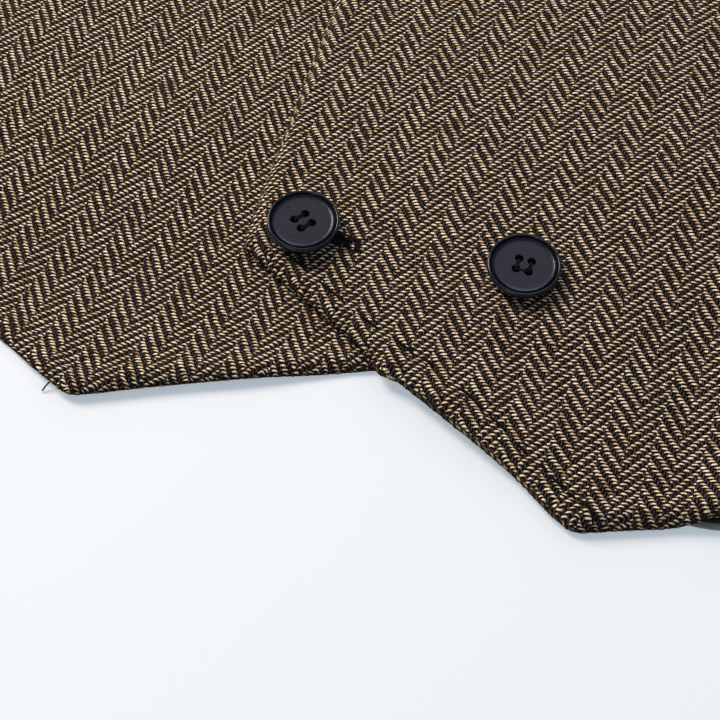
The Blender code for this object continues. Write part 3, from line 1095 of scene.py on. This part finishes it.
def thread(name, runs, radius, sides=8):
    """One mesh of round threads, each along a list of points."""
    bm = bmesh.new()
    chart = bm.loops.layers.uv.new("thread")
    for points in runs:
        rings, lengths, length = [], [], 0.0
        for index, here in enumerate(points):
            before = points[max(index - 1, 0)]
            after = points[min(index + 1, len(points) - 1)]
            along = (after - before).normalized()
            side = along.cross(UP)
            if side.length < 0.05:
                side = along.cross(Vector((0.0, 1.0, 0.0)))
            side.normalize()
            up = side.cross(along)
            length += (here - before).length
            lengths.append(length)
            rings.append([bm.verts.new(here + (side * c + up * s) * radius)
                          for c, s in circle(sides)])
        for ring, (first, second) in enumerate(zip(rings, rings[1:])):
            for k in range(sides):
                m = (k + 1) % sides
                polygon = bm.faces.new((first[k], first[m], second[m], second[k]))
                polygon.smooth = True
                corners = ((ring, k), (ring, k + 1), (ring + 1, k + 1), (ring + 1, k))
                for loop, (at, turn) in zip(polygon.loops, corners):
                    loop[chart].uv = (lengths[at] / MM, turn / sides)
        bm.faces.new(rings[0][::-1])
        bm.faces.new(rings[-1])
    piece = placed(name, mesh_of(bm, name, BLACK_THREAD))
    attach(piece, "root")


def arch(start, end, height, sink, steps=10):
    """Points of a stitch that comes up at start, bows over and goes down at end."""
    points = []
    for k in range(steps + 1):
        t = k / steps
        middle = start.lerp(end, t)
        middle.z += height * sin(pi * t) ** 0.6 - sink * abs(2 * t - 1) ** 8
        points.append(middle)
    return points


BUTTON_SEAT = 0.3 * MM
SEAT_REACH, SEAT_PLACES = 0.8 * BUTTON_RADIUS, 12
THREAD_RADIUS, HAND_STITCH_RADIUS, KNOT_RADIUS = 0.17 * MM, 0.28 * MM, 0.30 * MM


def seated(x, y):
    """The level of a button's back: on the highest cloth beneath it."""
    beneath = [(0.0, 0.0), *circle(SEAT_PLACES)]
    return BUTTON_SEAT + max(on_left_front((x + SEAT_REACH * c) / MM, (y + SEAT_REACH * s) / MM).z
                             for c, s in beneath)


# The pairs of holes, as numbered by hole_places, that two strands join, and those that one does
STRANDS = {"edge": (((3, 2), (0, 1)), ()),
           "show": (((3, 0), (2, 1)), ((0, 1),))}
STRAND_SUNK, STRAND_ASIDE = 0.16 * MM, 0.18 * MM  # into the face, off the pair's middle
STRAND_RISE, STRAND_DIP, SHANK = 0.24 * MM, 0.3 * MM, 1.2 * MM


def button_threads(name, place, turn, pairs, singles):
    """The strands between the holes, and their shanks down into the cloth."""
    face = BUTTON_PROFILE_MM[0][1] * MM - STRAND_SUNK
    holes = [place + Vector((x, y, face)) for x, y in hole_places(turn)]
    runs = []
    for a, b in (*pairs, *singles):
        across = (holes[b] - holes[a]).cross(UP).normalized()
        for side in ((-1, 1) if (a, b) in pairs else (0,)):
            shift = across * side * STRAND_ASIDE
            start, end = holes[a] + shift, holes[b] + shift
            runs.append([start - UP * SHANK, *arch(start, end, STRAND_RISE, STRAND_DIP),
                         end - UP * SHANK])
    thread(name, runs, THREAD_RADIUS)


def sew_on_buttons():
    for column, x, lowest_y, turns in BUTTONS:
        for row, turn in enumerate(turns):
            y = lowest_y + row * ROW_SPACING
            place = Vector((x, y, 0.0)) + PLAN_SHIFT
            place.z = seated(x, y)
            number = row + 1
            button = placed(f"turned_button_{column}_{number}", BUTTON_MESH.copy(), place,
                            (0.0, 0.0, radians(turn)))
            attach(button, "root")
            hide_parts(f"button_{column}_{number}")
            button_threads(f"button_thread_{column}_{number}", place, turn, *STRANDS[column])


sew_on_buttons()


# Of each kind of stitch: its height over the cloth, its dive at both ends, and its steps
HAND_STITCH, PURL_STITCH, BAR_STITCH = (0.19, 0.7, 16), (0.30, 0.35, 5), (0.42, 0.5, 8)


def laid_stitch(x0, y0, x1, y1, lift_mm, dive_mm, steps):
    """Points of a stitch that follows the left front's face and goes into it at both ends."""
    points = []
    for k in range(steps + 1):
        t = k / steps
        above = lift_mm - dive_mm * abs(2 * t - 1) ** 6
        points.append(on_left_front(x0 + (x1 - x0) * t, y0 + (y1 - y0) * t, above))
    return points


thread("hand_stitches", [laid_stitch(*ends, *HAND_STITCH) for ends in HAND_STITCHES_MM],
       HAND_STITCH_RADIUS)

# The buttonholes under the edge buttons, relative to the button's middle, in millimetres
SLIT_FROM_MM, SLIT_TO_MM = (-5.5, 0.4), (11.2, -1.0)
PURL_STEP_MM, PURL_REACH_MM, PURL_RADIUS = 0.42, 1.35, 0.2 * MM
PURL_RAGGED_MM = (0.45, 0.5)  # how uneven the stitches are, across the slit and along it
BAR_AT_MM, BAR_HALF_MM = (0.0, 0.4, 0.8), 1.5


def buttonhole(name, middle_x, middle_y):
    """Close stitches of black thread on both sides of the slit, and a bar over its end."""
    middle = Vector((middle_x, middle_y)) / MM
    start, end = middle + Vector(SLIT_FROM_MM), middle + Vector(SLIT_TO_MM)
    along = (end - start).normalized()
    across = left_of(along)
    runs = []
    for k in range(int((end - start).length / PURL_STEP_MM)):
        for side in (-1, 1):
            ragged = noise.noise(Vector((k * 1.7, side * 9.0, middle_y / MM)))
            root = start + along * (k + 0.25 * side) * PURL_STEP_MM
            tip = (root + across * side * (PURL_REACH_MM + PURL_RAGGED_MM[0] * ragged)
                   + along * PURL_RAGGED_MM[1] * ragged)
            root += across * side * 0.12
            runs.append(laid_stitch(*root, *tip, *PURL_STITCH))
    for at in BAR_AT_MM:
        top = end + along * at + across * BAR_HALF_MM
        foot = end + along * (at + 0.5) - across * BAR_HALF_MM
        runs.append(laid_stitch(*top, *foot, *BAR_STITCH))
    thread(name, runs, PURL_RADIUS, sides=5)


_, EDGE_X, LOWEST_Y, EDGE_TURNS = BUTTONS[0]
for row in range(len(EDGE_TURNS)):
    buttonhole(f"buttonhole_{row + 1}", EDGE_X, LOWEST_Y + row * ROW_SPACING)


# A thick knotted thread end by the left front's point: x, y and height over the cloth
KNOTTED_END_MM = ((45.0, -16.9, -0.3), (45.8, -17.1, 0.25), (46.8, -17.5, 0.35),
                  (47.6, -18.2, 0.30), (48.1, -19.0, 0.20), (48.4, -19.8, -0.3))
# and a thin one over the right front's hem: x, y and height over the table
STRAY_END_MM = ((-59.9, -17.4, 1.3), (-60.6, -18.2, 1.5), (-61.3, -19.2, 1.3),
                (-61.9, -20.2, 0.8), (-62.3, -21.0, 0.3))

thread("knotted_end", [[on_left_front(*spot) for spot in KNOTTED_END_MM]], KNOT_RADIUS)
thread("stray_end", [[Vector(spot) * MM + PLAN_SHIFT for spot in STRAY_END_MM]], THREAD_RADIUS)


# ---- Studio ----

TABLE_HALF = 3.0
SENSOR_MM = 36.0
SEEN_MIDDLE = Vector((10 * MM, 10 * MM, 0.0))  # of the picture, in plan
SKY_COLOUR, SKY_STRENGTH = (0.79, 0.89, 1.0, 1.0), 0.28
# The lamps, as seen from the middle of the picture in the view's own directions
LAMPS = (
    # name, to the right, ahead, up, size, power, colour
    ("key_light", -0.70, 0.72, 0.84, 0.55, 15.8, (1.0, 0.90, 0.78)),
    ("top_light", 0.30, 0.80, 0.95, 0.8, 1.4, (0.98, 0.95, 1.0)),
    ("back_light", 0.15, 1.25, 0.55, 0.8, 3.4, (0.80, 0.90, 1.0)),
    ("front_light", -0.60, -0.85, 0.30, 0.5, 1.7, (0.85, 0.92, 1.0)),
)


def table():
    mesh = bpy.data.meshes.new("table")
    mesh.from_pydata([(x * TABLE_HALF, y * TABLE_HALF, 0.0) for x, y in CORNERS], [],
                     [(0, 1, 2, 3)])
    mesh.materials.append(table_top())
    placed("table", mesh, (0.0, 0.0, -CLEARANCE))


def lamp(name, place, target, size, power, colour):
    data = bpy.data.lights.new(name, "AREA")
    data.shape = "DISK"
    data.size = size
    data.energy = power
    data.color = colour
    placed(name, data, place, (target - place).to_track_quat("-Z", "Y").to_euler())


def studio():
    seen = PLAN_SHIFT + SEEN_MIDDLE
    turn = radians(CAMERA_TURN)
    right = Vector((cos(turn), sin(turn), 0.0))
    ahead = UP.cross(right)
    for name, to_right, forward, up, *look in LAMPS:
        lamp(name, seen + right * to_right + ahead * forward + UP * up, seen, *look)
    world = bpy.data.worlds.new("studio")
    world.use_nodes = True
    background = world.node_tree.nodes["Background"]
    background.inputs["Color"].default_value = SKY_COLOUR
    background.inputs["Strength"].default_value = SKY_STRENGTH
    scene = bpy.context.scene
    scene.world = world
    scene.view_settings.view_transform = "Standard"
    scene.view_settings.look = "None"


def camera():
    data = bpy.data.cameras.new("camera")
    data.sensor_width = SENSOR_MM
    data.lens = SENSOR_MM * CAMERA_FOCAL
    data.clip_start = 0.01
    data.clip_end = 20.0
    turn = (radians(90.0 - CAMERA_TILT), 0.0, radians(CAMERA_TURN))
    bpy.context.scene.camera = placed("camera", data, CAMERA_PLAN + PLAN_SHIFT, turn)


table()
studio()
camera()
